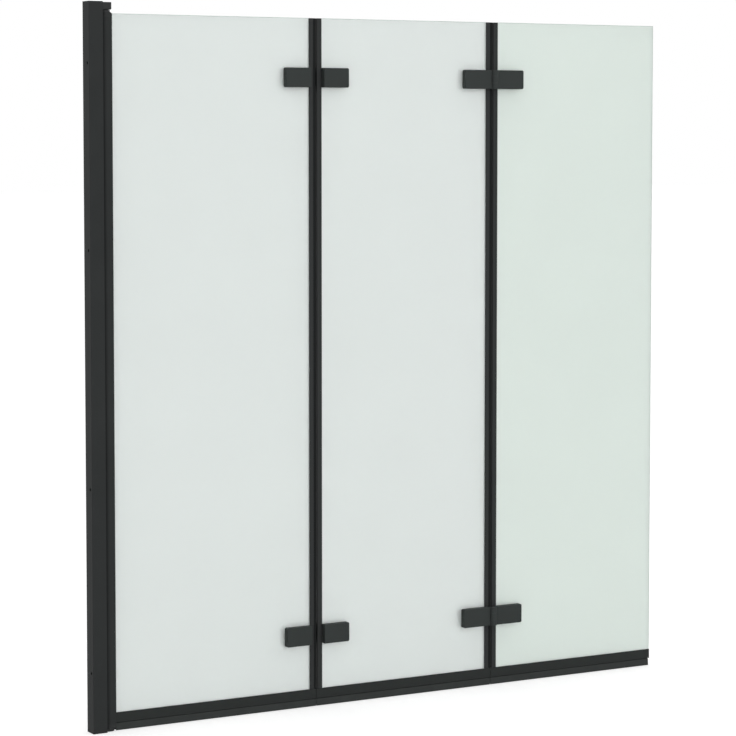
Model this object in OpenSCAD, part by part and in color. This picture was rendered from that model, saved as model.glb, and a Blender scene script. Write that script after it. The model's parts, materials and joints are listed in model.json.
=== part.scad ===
// Folding bath screen with three glass panels, for the rim of a bathtub.
//
// X runs from the wall along the screen, Y from the front (negative) to the rear, Z up.
// The origin lies on the wall, in the middle plane of the glass, at the height of the bath rim.
// The screen is drawn fully opened out. The second panel folds behind the first and the third
// folds in front of the second. All sizes are in millimetres.

/* [Screen] */
// Height of the whole screen above the bath rim
screen_h = 1380; // [1300:5:1500]
// Width of the first panel, from the pivot axis to the first folding joint
first_w = 447.5; // [380:0.5:520]
// Width of the second panel, from joint to joint
second_w = 410; // [380:0.5:520]
// Width of the third panel, from the second folding joint to the free edge
third_w = 403.5; // [330:0.5:450]

/* [Glass] */
// Thickness of the safety glass
glass_t = 5; // [4:0.5:6]
// Height of the lower glass edge above the bath rim
glass_lift = 20; // [20:0.5:26]
// Depth of the upper glass edge below the top of the screen
glass_drop = 22; // [22:0.5:40]
// Width of the ground arris along the glass edges
arris = 0.5; // [0.2:0.1:1]
// Distance of a glass edge from the joint axis, on the side that carries the soft lip
lip_side_edge = 6.3; // [6:0.1:8]
// Distance of a glass edge from the joint axis, on the plain side
plain_side_edge = 4.8; // [4.5:0.1:6]

/* [Wall profile] */
// Depth of the wall profile, out from the wall
wall_d = 28.7; // [27:0.1:40]
// Width of the wall profile, across the glass plane
wall_w = 29; // [28:0.5:36]
// Metal thickness of the wall profile
wall_t = 1.6; // [1.2:0.1:2]
// Radius on the outer edges of the wall profile
wall_edge_r = 0.8; // [0.4:0.1:1]
// Diameter of the four wall screw holes
wall_hole_d = 6; // [4:0.5:7]
// Offset of the wall screw holes towards the front
wall_hole_shift = 6; // [0:0.5:7]
// Spacing of the inner pair of wall screw holes
inner_holes = 450; // [300:10:600]
// Spacing of the outer pair of wall screw holes
outer_holes = 1150; // [1000:10:1200]
// Thickness of the cap plate on top of the wall profile
top_cap_t = 1.5; // [1:0.1:3]
// Depth of the cap's tongue inside the wall profile
top_cap_tongue = 12; // [6:1:20]

/* [Adjusting profile] */
// Metal thickness of the adjusting profile
adjust_t = 1.5; // [1.2:0.1:2]
// Sliding clearance between the two channels, on each side
slide_gap = 0.3; // [0.2:0.05:0.6]
// Free depth behind the adjusting profile that takes up an uneven wall
adjust_room = 8; // [6:0.5:10]
// Setback of the adjusting profile's front from the mouth of the wall profile
adjust_setback = 1.7; // [1.2:0.1:3]
// Spacing of the three locking screws
adjust_spacing = 400; // [300:10:500]
// Shank diameter of the locking screws
adjust_screw_d = 3.5; // [3:0.5:4.5]
// Head diameter of the locking screws
adjust_head_d = 7; // [6:0.5:8]
// Head height of the locking screws
adjust_head_h = 2.2; // [1.8:0.1:3]
// Length of the locking screws under the head
adjust_screw_l = 9; // [6:0.5:12]
// Diameter of the snap-on screw covers
cover_d = 11; // [10:0.5:13]
// Wall thickness of the screw covers
cover_t = 1; // [0.8:0.1:1.2]

/* [Pivot] */
// Width of the pivot profile, also the diameter of its round back
pivot_w = 19; // [18:0.5:22]
// From the pivot axis to the glass side of the pivot profile
pivot_reach = 10.5; // [10:0.5:14]
// Gap between the wall profile and the round back
pivot_gap = 0.8; // [0.6:0.1:2]
// Wall thickness of the pivot profile
pivot_t = 1.4; // [1.2:0.1:1.6]
// From the pivot axis to the bottom of the glass pocket
pocket_x = 4.6; // [4.4:0.1:5]
// Thickness of the glazing gasket on each side of the glass
gasket_t = 1.2; // [0.8:0.1:1.5]
// Thickness of the gasket's web behind the glass edge
gasket_web = 0.6; // [0.5:0.1:1]
// Overhang of the gasket's bead outside the pocket
gasket_bead = 0.7; // [0.5:0.1:1]
// Height of the moulded end caps of the pivot profile
end_cap_h = 8; // [6:0.5:12]
// Rounding of the end caps' outer corners
end_cap_r = 4.5; // [2:0.5:5]
// Length of the lugs that hold an end cap in the profile
lug_l = 10; // [6:0.5:20]
// Diameter of the pivot pins
pin_d = 5; // [4:0.5:5]
// Length of a pin in the upper bearing block
pin_hold = 10; // [6:0.5:11]
// Length of the bushes inside the pivot profile
bush_l = 20; // [16:1:30]
// Wall thickness of the bushes
bush_t = 1; // [0.8:0.1:1.1]
// Height of the bearing blocks inside the wall profile
block_h = 14; // [12:0.5:18]
// Height of the lower block's foot under the pivot profile
foot_h = 4; // [3:0.5:6]
// From the pivot axis to the outer face of the upper bearing block
block_reach = 8; // [7:0.5:10]
// Rounding of the upper bearing block's outer edges
block_r = 3; // [1:0.5:3]
// Length of the bearing blocks' tails inside the adjusting profile
tail_l = 20; // [16:1:30]
// Shank diameter of the screws that hold the bearing blocks
block_screw_d = 3; // [2.5:0.5:3.5]
// Length of the screws that hold the bearing blocks
block_screw_l = 10; // [8:0.5:14]
// Space between the upper block and the pivot profile
top_gap = 4.3; // [2:0.1:6]
// Space between the lower block's foot and the pivot profile
bottom_gap = 1.2; // [0.8:0.1:2]
// Height of the lower block above the bath rim
block_lift = 0.5; // [0.3:0.1:1]

/* [Upright seals] */
// Distance of a seal's outer edge from the joint axis
seal_reach = 14; // [12:0.5:16]
// Overall thickness of the seal clips
seal_w = 9; // [8:0.5:10]
// Thickness of the clips behind the glass edge
seal_web = 1.3; // [1:0.1:1.5]
// Rounding of the clips' outer edges
seal_r = 0.8; // [0.4:0.1:1]
// Thickness of the hollow lip
lip_w = 5.6; // [4:0.2:6]
// Wall thickness of the hollow lip
lip_t = 0.9; // [0.7:0.1:1.2]
// From the joint axis to the tip of the lip
lip_reach = 2.5; // [1:0.1:2.5]

/* [Bottom rail] */
// Height of the rail's upper edge above the bath rim
rail_h = 34.5; // [32:0.5:45]
// Thickness of the carrier that clips on the glass
carrier_w = 9; // [8.5:0.5:11]
// Height of the carrier's lower edge above the bath rim
carrier_lift = 15.2; // [14.8:0.1:15.6]
// Gap between the rails of two panels at a folding joint
rail_gap = 1; // [0.6:0.1:3]
// Width of the wiper at its shoulders
wiper_w = 8; // [7:0.5:9]
// Flare of each wiper lip at the bath rim
wiper_flare = 1; // [0:0.1:2]
// Thickness of the wiper lips
wiper_t = 1.2; // [1:0.1:1.5]
// Height of the visible groove between carrier and wiper
groove_h = 1; // [0.6:0.1:1.4]
// Clearance of the wiper above the bath rim
wiper_lift = 0.3; // [0.1:0.1:1]
// Setback of the last wiper from the free edge
wiper_setback = 3; // [0:0.5:6]

/* [Hinges] */
// Length of a hinge across the joint
hinge_l = 140; // [120:1:180]
// Height of a hinge
hinge_h = 38; // [32:1:50]
// Thickness of the hinge plates on each side of the glass
hinge_t = 12; // [10:0.5:14]
// Height of the lower hinges' centre above the bath rim
low_hinge = 144; // [90:1:300]
// Depth of the upper hinges' centre below the top of the screen
high_hinge = 137.5; // [90:0.5:300]
// Rounding of the hinge ends, seen from the front
hinge_corner_r = 3; // [1:0.5:5]
// Rounding of the hinge edges
hinge_edge_r = 1.2; // [0.5:0.1:2]
// Diameter of the hinge barrel
barrel_d = 14; // [12:0.5:15]
// Height of the middle knuckle
knuckle_h = 14; // [10:0.5:18]
// Clearance between knuckles and around the barrel
knuckle_gap = 0.4; // [0.2:0.1:0.6]
// Diameter of the hinge pins
hinge_pin_d = 5; // [4:0.5:6]
// Space between two hinges folded onto each other
fold_gap = 1; // [0.6:0.1:3]
// Gap between a seal and the hinge plates beside it
plate_gap = 0.3; // [0.2:0.1:1]
// Thickness of the pads between hinge and glass
pad_t = 0.8; // [0.5:0.1:1.5]
// Margin of the pads inside the hinge outline
pad_margin = 2; // [1:0.5:4]
// Distance of the first clamp screw from the joint axis
near_screw = 28; // [24:0.5:34]
// Distance of the second clamp screw from the joint axis
far_screw = 56; // [46:0.5:62]
// Diameter of the clamp screws
clamp_screw_d = 5; // [4:0.5:6]
// Head diameter of the clamp screws
clamp_head_d = 9; // [8:0.5:10]
// Depth of the clamp screws' heads below the face of the hinge
head_recess = 0.6; // [0.4:0.1:1]
// Depth of the clamp screws' threaded holes
thread_depth = 8; // [6:0.5:9]
// Diameter of the drilled holes in the glass
glass_hole_d = 10; // [9:0.5:12]

/* [Hidden] */
$fn = 48;

black = [0.16, 0.165, 0.165];
rubber_black = [0.09, 0.095, 0.095];
steel = [0.72, 0.73, 0.74];
plastic_grey = [0.30, 0.31, 0.31];
frosted = [0.86, 0.90, 0.89, 0.6];

run_gap = 0.05;      // radial clearance of a pin that turns
fit_gap = 0.02;      // radial clearance of a pin or screw that is fixed
seat_gap = 0.1;      // clearance of a moulding in its seat
cut = 1;             // overshoot of a cutting shape

// Places along the screen
pivot_x = wall_d + pivot_gap + pivot_w / 2;
joint_1 = pivot_x + first_w;
joint_2 = joint_1 + second_w;
free_x = joint_2 + third_w;
pivot_face = pivot_x + pivot_reach;

// Heights
profile_top = screen_h - top_cap_t;
glass_top = screen_h - glass_drop;
top_block_z = profile_top - block_h;
bottom_block_top = block_lift + block_h;
foot_top = block_lift + foot_h;
pivot_bottom = foot_top + bottom_gap;
pivot_top = top_block_z - top_gap;
hinge_z = [low_hinge, screen_h - high_hinge];
adjust_z = [for (i = [-1:1]) screen_h / 2 + i * adjust_spacing];

// Adjusting profile
adjust_w = wall_w - 2 * (wall_t + slide_gap);
adjust_x = [adjust_room, wall_d - adjust_setback];
adjust_mid = (adjust_x[0] + adjust_x[1]) / 2;

// Pivot profile
pocket_w = glass_t + 2 * gasket_t;
glass_1_edge = pivot_x + pocket_x + gasket_web;
bush_d = pin_d + 2 * (run_gap + bush_t);

// Hinges
hinge_y = glass_t / 2 + pad_t + hinge_t;
axis_y = hinge_y + fold_gap / 2;
barrel_clear = barrel_d / 2 + knuckle_gap;
plate_x = seal_reach + plate_gap;
outer_knuckle_h = (hinge_h - knuckle_h) / 2 - knuckle_gap;
head_depth = (clamp_head_d - clamp_screw_d) / 2 + head_recess;
pad_r = hinge_corner_r / 2;

// ---- shared shapes ----

// What is cut away to round a corner at the origin
module corner_cut(r) {
    difference() {
        translate([-cut, -cut]) square(r + cut);
        translate([r, r]) circle(r);
    }
}

// Rectangle from the origin, with its corners rounded by r, anticlockwise from the origin
module rounded_plate(size, r) {
    difference() {
        square(size);
        if (r[0] > 0) corner_cut(r[0]);
        if (r[1] > 0) translate([size.x, 0]) mirror([1, 0]) corner_cut(r[1]);
        if (r[2] > 0) translate(size) rotate(180) corner_cut(r[2]);
        if (r[3] > 0) translate([0, size.y]) mirror([0, 1]) corner_cut(r[3]);
    }
}

// Children drawn as a section across Y and Z, drawn out along X between two places
module along_x(x0, x1) {
    translate([x0, 0, 0]) rotate([90, 0, 90]) linear_extrude(x1 - x0) children();
}

// Children drawn as a section across X and Y, drawn out along Z between two heights
module along_z(z0, z1) {
    translate([0, 0, z0]) linear_extrude(z1 - z0) children();
}

// Children drawn as seen from the front, drawn out along Y between two planes
module along_y(y0, y1) {
    translate([0, y1, 0]) rotate([90, 0, 0]) linear_extrude(y1 - y0) children();
}

// ---- wall side ----

module wall_section() {
    difference() {
        translate([0, -wall_w / 2])
            rounded_plate([wall_d, wall_w], [wall_edge_r, wall_edge_r / 2, wall_edge_r / 2, wall_edge_r]);
        translate([wall_t, -wall_w / 2 + wall_t]) square([wall_d, wall_w - 2 * wall_t]);
    }
}

module wall_profile() {
    color(black) difference() {
        along_z(0, profile_top) wall_section();
        for (spacing = [inner_holes, outer_holes], side = [-1, 1])
            translate([-cut, -wall_hole_shift, screen_h / 2 + side * spacing / 2])
                rotate([0, 90, 0]) cylinder(d = wall_hole_d, h = wall_t + 2 * cut);
        for (z = adjust_z)
            translate([adjust_mid, wall_w / 2 - wall_t - cut, z])
                rotate([-90, 0, 0]) cylinder(d = adjust_screw_d + 2 * fit_gap, h = wall_t + 2 * cut);
    }
}

module wall_profile_cap() {
    tongue_w = wall_w - 2 * (wall_t + seat_gap);
    color(black) {
        along_z(profile_top, screen_h)
            translate([0, -wall_w / 2])
                rounded_plate([wall_d, wall_w], [for (i = [0:3]) wall_edge_r]);
        along_z(profile_top - top_cap_tongue, profile_top)
            translate([wall_t + seat_gap, -tongue_w / 2])
                square([adjust_room - wall_t - 4 * seat_gap, tongue_w]);
    }
}

module adjusting_section() {
    difference() {
        translate([adjust_x[0], -adjust_w / 2]) square([adjust_x[1] - adjust_x[0], adjust_w]);
        translate([adjust_x[0] - cut, -adjust_w / 2 + adjust_t])
            square([adjust_x[1] - adjust_x[0] + cut - adjust_t, adjust_w - 2 * adjust_t]);
    }
}

// Heights of the screws that hold the bearing blocks
block_screw_z = [bottom_block_top + tail_l / 2, top_block_z - tail_l / 2];

module adjusting_profile() {
    color(black) difference() {
        along_z(bottom_block_top + seat_gap, top_block_z - seat_gap) adjusting_section();
        for (z = adjust_z)
            translate([adjust_mid, adjust_w / 2 - adjust_t - cut, z])
                rotate([-90, 0, 0]) cylinder(d = adjust_screw_d + 2 * fit_gap, h = adjust_t + 2 * cut);
        for (z = block_screw_z)
            translate([adjust_mid, adjust_w / 2, z]) rotate([90, 0, 0]) block_screw(fit_gap);
    }
}

// Pan-head screw along Z, its head above the origin, with a slot for a blade
module adjusting_screw() {
    dome_r = 1.5 * adjust_head_d;
    slot_w = 0.8;
    difference() {
        union() {
            translate([0, 0, -adjust_screw_l]) cylinder(d = adjust_screw_d, h = adjust_screw_l);
            intersection() {
                cylinder(d = adjust_head_d, h = adjust_head_h);
                translate([0, 0, adjust_head_h - dome_r]) sphere(r = dome_r);
            }
        }
        translate([-adjust_head_d / 2, -slot_w / 2, adjust_head_h / 2])
            cube([adjust_head_d, slot_w, adjust_head_h]);
    }
}

module adjusting_screws() {
    color(steel) for (z = adjust_z)
        translate([adjust_mid, wall_w / 2, z]) rotate([-90, 0, 0]) adjusting_screw();
}

module screw_covers() {
    room_h = adjust_head_h + 2 * seat_gap;
    color(black) for (z = adjust_z)
        translate([adjust_mid, wall_w / 2, z]) rotate([-90, 0, 0]) difference() {
            union() {
                cylinder(d = cover_d, h = room_h);
                translate([0, 0, room_h])
                    cylinder(d1 = cover_d, d2 = cover_d - 2 * cover_t, h = cover_t);
            }
            translate([0, 0, -cut]) cylinder(d = cover_d - 2 * cover_t, h = cut + room_h);
        }
}

// Countersunk screw along -Z, its head flush with the origin, all over larger by play
module block_screw(play) {
    head_h = block_screw_d / 2;
    translate([0, 0, -play]) {
        cylinder(d1 = 2 * block_screw_d + 2 * play, d2 = block_screw_d + 2 * play, h = head_h);
        cylinder(d = block_screw_d + 2 * play, h = block_screw_l);
    }
}

module bearing_block_screws() {
    color(steel) for (z = block_screw_z)
        translate([adjust_mid, adjust_w / 2, z]) rotate([90, 0, 0]) block_screw(0);
}

// Part of a bearing block that sits in the wall profile, between two heights
module block_root(z0, z1) {
    along_z(z0, z1) translate([adjust_x[0], -adjust_w / 2])
        square([wall_d - adjust_x[0] + seat_gap, adjust_w]);
}

// Tail of a bearing block inside the adjusting profile, between two heights
module block_tail(z0, z1) {
    tail_w = adjust_w - 2 * (adjust_t + seat_gap);
    along_z(z0, z1) translate([adjust_x[0] + seat_gap, -tail_w / 2])
        square([adjust_x[1] - adjust_x[0] - adjust_t - 2 * seat_gap, tail_w]);
}

// Blind hole in a tail for the block's screw
module tail_hole(z) {
    translate([adjust_mid, adjust_w / 2 - adjust_t, z]) rotate([90, 0, 0])
        cylinder(d = block_screw_d + 2 * fit_gap, h = block_screw_l - adjust_t + seat_gap);
}

module top_bearing_block() {
    head_x = wall_d + seat_gap;
    head_l = pivot_x + block_reach - head_x;
    color(black) difference() {
        union() {
            intersection() {
                along_z(top_block_z, profile_top) translate([head_x, -wall_w / 2])
                    rounded_plate([head_l, wall_w], [0, block_r, block_r, 0]);
                along_y(-wall_w, wall_w) translate([head_x, top_block_z])
                    rounded_plate([head_l, block_h], [0, block_r, block_r / 3, 0]);
            }
            block_root(top_block_z, profile_top);
            block_tail(top_block_z - tail_l, top_block_z);
        }
        translate([pivot_x, 0, top_block_z - cut]) cylinder(d = pin_d + 2 * fit_gap, h = pin_hold + cut);
        tail_hole(block_screw_z[1]);
    }
}

module bottom_bearing_block() {
    color(black) difference() {
        union() {
            block_root(block_lift, bottom_block_top);
            block_tail(bottom_block_top, bottom_block_top + tail_l);
            along_z(block_lift, foot_top) {
                translate([pivot_x, 0]) circle(d = pivot_w);
                translate([wall_d - cut, -pivot_w / 2]) square([pivot_x - wall_d + cut, pivot_w]);
            }
        }
        translate([pivot_x, 0, block_lift - cut]) cylinder(d = pin_d + 2 * fit_gap, h = foot_h + 2 * cut);
        tail_hole(block_screw_z[0]);
    }
}

// Bush along -Z, its tube below the origin and its flange above
module bush(flange_t) {
    difference() {
        union() {
            translate([0, 0, -bush_l]) cylinder(d = bush_d, h = bush_l);
            cylinder(d = pivot_w, h = flange_t);
        }
        translate([0, 0, -bush_l - cut]) cylinder(d = pin_d + 2 * run_gap, h = bush_l + flange_t + 2 * cut);
    }
}

module pivot_seal() {
    base_t = 0.8;
    bead_clear = 0.3;
    bead_r = pivot_gap + adjust_setback - base_t - bead_clear;
    color(rubber_black) along_z(bottom_block_top + seat_gap, top_block_z - seat_gap)
        translate([adjust_x[1], 0]) {
            translate([0, -pivot_w / 3]) square([base_t, 2 * pivot_w / 3]);
            translate([base_t, 0]) intersection() {
                circle(bead_r);
                translate([0, -bead_r]) square(2 * bead_r);
            }
        }
}

// ---- first panel ----

// Outline of the pivot profile about its axis: round back, square glass side
module pivot_outline() {
    circle(d = pivot_w);
    translate([0, -pivot_w / 2]) square([pivot_reach, pivot_w]);
}

// Half-round chamber behind the bush channel, smaller by play on every side
module back_chamber(play) {
    difference() {
        circle(d = pivot_w - 2 * (pivot_t + play));
        circle(d = bush_d + 2 * (pivot_t + play));
        translate([-play, -pivot_w / 2]) square(pivot_w);
        translate([-pivot_w / 2, -pivot_t / 2 - play]) square([pivot_w / 2, pivot_t + 2 * play]);
    }
}

module pivot_section() {
    side_w = (pivot_w - pocket_w) / 2 - 2 * pivot_t;
    difference() {
        pivot_outline();
        back_chamber(0);
        circle(d = bush_d + 2 * fit_gap);
        translate([pocket_x, -pocket_w / 2]) square([pivot_reach, pocket_w]);
        for (side = [-1, 1])
            translate([pivot_t, side * (pivot_w / 2 - pivot_t - side_w / 2) - side_w / 2])
                square([pivot_reach - 2 * pivot_t, side_w]);
    }
}

module pivot_profile() {
    color(black) translate([pivot_x, 0, 0])
        along_z(pivot_bottom + end_cap_h, pivot_top - end_cap_h) pivot_section();
}

// Upper end cap about the pivot axis, its upper face at height zero; the glass ends at glass_depth
module pivot_end_cap(glass_depth) {
    difference() {
        union() {
            intersection() {
                along_z(-end_cap_h, 0) pivot_outline();
                along_y(-pivot_w, pivot_w) translate([-pivot_w / 2, -end_cap_h])
                    rounded_plate([pivot_w / 2 + pivot_reach, end_cap_h], [0, 0, end_cap_r, 0]);
            }
            along_z(-end_cap_h - lug_l, -end_cap_h) back_chamber(seat_gap);
        }
        translate([0, 0, -end_cap_h - cut]) cylinder(d = bush_d + 2 * fit_gap, h = end_cap_h + 2 * cut);
        if (glass_depth < end_cap_h)
            translate([pocket_x + gasket_web - seat_gap, -glass_t / 2 - seat_gap, -end_cap_h - cut])
                cube([pivot_reach, glass_t + 2 * seat_gap, end_cap_h + cut - glass_depth]);
    }
}

module pivot_end_caps() {
    color(black) {
        translate([pivot_x, 0, pivot_top]) pivot_end_cap(pivot_top - glass_top - 2 * seat_gap);
        translate([pivot_x, 0, pivot_bottom]) mirror([0, 0, 1])
            pivot_end_cap(glass_lift - pivot_bottom - 2 * seat_gap);
    }
}

// Turned pin along Z with chamfered ends
module pin(d, l) {
    chamfer = d / 10;
    rotate_extrude() polygon([
        [0, 0], [d / 2 - chamfer, 0], [d / 2, chamfer],
        [d / 2, l - chamfer], [d / 2 - chamfer, l], [0, l]
    ]);
}

module pivot_pins() {
    color(steel) {
        translate([pivot_x, 0, pivot_top - bush_l]) pin(pin_d, bush_l + top_gap + pin_hold);
        translate([pivot_x, 0, block_lift]) pin(pin_d, foot_h + bottom_gap + bush_l);
    }
}

module bearing_bushes() {
    flange_play = 0.3;
    color(plastic_grey) {
        translate([pivot_x, 0, pivot_top]) bush(top_gap - flange_play);
        translate([pivot_x, 0, pivot_bottom]) mirror([0, 0, 1]) bush(bottom_gap - flange_play);
    }
}

module glazing_gasket() {
    bead_r = gasket_bead / 2;
    color(rubber_black) along_z(pivot_bottom + end_cap_h, pivot_top - end_cap_h)
        translate([pivot_x, 0]) difference() {
            union() {
                translate([pocket_x, -pocket_w / 2]) square([pivot_reach - pocket_x, pocket_w]);
                translate([pivot_reach, -pocket_w / 2 - gasket_bead])
                    rounded_plate([gasket_bead, pocket_w + 2 * gasket_bead], [0, bead_r, bead_r, 0]);
            }
            translate([pocket_x + gasket_web, -glass_t / 2]) square([pivot_reach, glass_t]);
        }
}

// ---- glass ----

// Bevelled strip section about the middle of its thickness
module arris_section(l) {
    polygon([
        [0, -glass_t / 2 + arris], [arris, -glass_t / 2], [l - arris, -glass_t / 2],
        [l, -glass_t / 2 + arris], [l, glass_t / 2 - arris], [l - arris, glass_t / 2],
        [arris, glass_t / 2], [0, glass_t / 2 - arris]
    ]);
}

// Pane between two places along the screen, drilled for the hinge halves at holes
module pane(x0, x1, holes) {
    color(frosted) difference() {
        intersection() {
            along_z(glass_lift, glass_top) translate([x0, 0]) arris_section(x1 - x0);
            translate([x0, 0, glass_lift]) rotate([0, -90, 180])
                linear_extrude(x1 - x0) arris_section(glass_top - glass_lift);
        }
        for (x = holes, z = hinge_z)
            translate([x, 0, z]) rotate([90, 0, 0]) cylinder(d = glass_hole_d, h = 2 * glass_t, center = true);
    }
}

screw_offsets = [near_screw, far_screw];

module glass_panel_1() {
    pane(glass_1_edge, joint_1 - lip_side_edge, [for (s = screw_offsets) joint_1 - s]);
}

module glass_panel_2() {
    pane(joint_1 + plain_side_edge, joint_2 - lip_side_edge,
        [for (s = screw_offsets) each [joint_1 + s, joint_2 - s]]);
}

module glass_panel_3() {
    pane(joint_2 + plain_side_edge, free_x, [for (s = screw_offsets) joint_2 + s]);
}

// ---- upright seals ----

// Clip section from the joint axis to the right, on a glass edge at distance edge
module seal_section(edge) {
    start = edge - seal_web;
    difference() {
        translate([start, -seal_w / 2])
            rounded_plate([seal_reach - start, seal_w], [for (i = [0:3]) seal_r]);
        translate([edge, -glass_t / 2 - fit_gap]) square([seal_reach, glass_t + 2 * fit_gap]);
    }
}

// Clip to the left (side -1) or right (side 1) of the joint at x
module joint_seal(x, side, edge) {
    color(black) along_z(rail_h + seat_gap, glass_top)
        translate([x, 0]) rotate(side > 0 ? 0 : 180) seal_section(edge);
}

// Hollow soft lip on the left clip of the joint at x
module joint_lip(x) {
    root = lip_side_edge - seal_web;
    color(rubber_black) along_z(rail_h + seat_gap, glass_top) translate([x, 0]) difference() {
        lip_outline(root, lip_w / 2, lip_reach);
        lip_outline(root - lip_t, lip_w / 2 - lip_t, lip_reach - lip_t);
    }
}

// Lip outline from the clip at -root to a round tip
module lip_outline(root, r, tip) {
    translate([tip - r, 0]) circle(r);
    translate([-root, -r]) square([root + tip - r, 2 * r]);
}

module joint_seal_1a() { joint_seal(joint_1, -1, lip_side_edge); }
module joint_seal_1b() { joint_seal(joint_1, 1, plain_side_edge); }
module joint_seal_2a() { joint_seal(joint_2, -1, lip_side_edge); }
module joint_seal_2b() { joint_seal(joint_2, 1, plain_side_edge); }
module joint_lip_1a() { joint_lip(joint_1); }
module joint_lip_2a() { joint_lip(joint_2); }

// ---- bottom rail ----

neck_w = 3;              // width of the carrier's slot at its mouth
head_w = 5;              // width of the slot inside
slot_lip = 1.2;          // thickness of the slot's lips
slot_h = 2;              // height of the slot inside
slot_play = 0.2;         // clearance of the wiper's head in the slot
carrier_top_r = 1;       // rounding of the carrier's upper edges
carrier_foot_r = 0.5;    // rounding of its lower edges

module carrier_section() {
    difference() {
        translate([-carrier_w / 2, carrier_lift])
            rounded_plate([carrier_w, rail_h - carrier_lift],
                [carrier_foot_r, carrier_foot_r, carrier_top_r, carrier_top_r]);
        translate([-glass_t / 2 - fit_gap, glass_lift]) square([glass_t + 2 * fit_gap, rail_h]);
        translate([-neck_w / 2, carrier_lift - cut]) square([neck_w, slot_lip + 2 * cut]);
        translate([-head_w / 2, carrier_lift + slot_lip]) square([head_w, slot_h]);
    }
}

// Right half of the wiper: head in the slot, neck, shoulder and flared lip
function wiper_half() = [
    [head_w / 2 - slot_play, carrier_lift + slot_lip + slot_h - slot_play],
    [head_w / 2 - slot_play, carrier_lift + slot_lip],
    [neck_w / 2 - slot_play, carrier_lift + slot_lip],
    [neck_w / 2 - slot_play, carrier_lift - groove_h],
    [wiper_w / 2, carrier_lift - groove_h],
    [wiper_w / 2 + wiper_flare, wiper_lift],
    [wiper_w / 2 + wiper_flare - wiper_t, wiper_lift],
    [wiper_w / 2 - wiper_t, carrier_lift - groove_h - 2 * wiper_t],
];

module wiper_section() {
    right = wiper_half();
    left = [for (i = [len(right) - 1:-1:0]) [-right[i].x, right[i].y]];
    polygon(concat(right, left));
}

// Ends of each panel's rail along the screen
rail_ends = [
    [pivot_face + gasket_bead + 2 * seat_gap, joint_1 - rail_gap / 2],
    [joint_1 + rail_gap / 2, joint_2 - rail_gap / 2],
    [joint_2 + rail_gap / 2, free_x - rail_gap / 2],
];

module carrier(panel) {
    color(black) along_x(rail_ends[panel][0], rail_ends[panel][1]) carrier_section();
}

module wiper(panel, setback) {
    color(rubber_black) along_x(rail_ends[panel][0], rail_ends[panel][1] - setback) wiper_section();
}

module bottom_carrier_1() { carrier(0); }
module bottom_carrier_2() { carrier(1); }
module bottom_carrier_3() { carrier(2); }
module bottom_wiper_1() { wiper(0, 0); }
module bottom_wiper_2() { wiper(1, 0); }
module bottom_wiper_3() { wiper(2, wiper_setback - rail_gap / 2); }

// ---- hinges ----
// Every half is drawn to the right of the joint axis, with its knuckles towards the rear,
// and then turned over to the left (side -1) or to the front (knuckles -1).

module hinge_half(x, side, knuckles) {
    for (z = hinge_z) translate([x, 0, z])
        if (side > 0 && knuckles > 0) children();
        else if (side < 0 && knuckles > 0) mirror([1, 0, 0]) children();
        else if (side > 0) mirror([0, 1, 0]) children();
        else rotate([0, 0, 180]) children();
}

// Metal block from x0 to the hinge's end, on the rear of the glass, with softened edges
module soft_block(x0) {
    l = hinge_l / 2 - x0;
    base_y = hinge_y - hinge_t;
    intersection() {
        along_y(base_y, hinge_y) translate([x0, -hinge_h / 2])
            rounded_plate([l, hinge_h], [0, hinge_corner_r, hinge_corner_r, 0]);
        along_z(-hinge_h, hinge_h) translate([x0, base_y])
            rounded_plate([l, hinge_t], [0, 0, hinge_edge_r, 0]);
        along_x(x0, x0 + l) translate([base_y, -hinge_h / 2])
            rounded_plate([hinge_t, hinge_h], [0, hinge_edge_r, hinge_edge_r, 0]);
    }
}

// Countersunk holes for the clamp screws, seen from the side of the heads
module head_holes() {
    for (x = screw_offsets) translate([x, hinge_y, 0]) rotate([90, 0, 0]) {
        translate([0, 0, -cut]) cylinder(d = clamp_screw_d + 2 * fit_gap, h = hinge_y + cut);
        translate([0, 0, head_recess]) cylinder(
            d1 = clamp_head_d + 2 * fit_gap, d2 = clamp_screw_d + 2 * fit_gap, h = head_depth - head_recess);
        translate([0, 0, -cut]) cylinder(d = clamp_head_d + 2 * fit_gap, h = head_recess + cut);
    }
}

// Blind threaded holes for the clamp screws, from the glass side
module thread_holes() {
    base_y = hinge_y - hinge_t;
    for (x = screw_offsets) translate([x, base_y - cut, 0]) rotate([-90, 0, 0])
        cylinder(d = clamp_screw_d + 2 * fit_gap, h = thread_depth + cut);
}

// Knuckle of height h from height z0, with the web that joins it to its leaf
module knuckle(z0, h) {
    web_y = axis_y - barrel_d / 2;
    translate([0, axis_y, z0]) cylinder(d = barrel_d, h = h);
    translate([0, web_y, z0]) cube([barrel_clear + cut, hinge_y - web_y, h]);
}

// Leaf with its knuckles; outer leaves carry two knuckles, inner leaves the middle one
module hinge_leaf(outer, heads) {
    play = outer ? fit_gap : run_gap;
    difference() {
        union() {
            soft_block(barrel_clear);
            if (outer) {
                knuckle(-hinge_h / 2, outer_knuckle_h);
                knuckle(hinge_h / 2 - outer_knuckle_h, outer_knuckle_h);
            } else knuckle(-knuckle_h / 2, knuckle_h);
        }
        translate([-seal_reach, -cut, -hinge_h])
            cube([seal_reach + plate_x, seal_w / 2 + knuckle_gap + cut, 2 * hinge_h]);
        translate([0, axis_y, -hinge_h]) cylinder(d = hinge_pin_d + 2 * play, h = 2 * hinge_h);
        if (heads) head_holes(); else thread_holes();
    }
}

// Plain clamp plate on the other side of the glass from the leaf
module clamp_plate(heads) {
    mirror([0, 1, 0]) difference() {
        soft_block(plate_x);
        if (heads) head_holes(); else thread_holes();
    }
}

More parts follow.
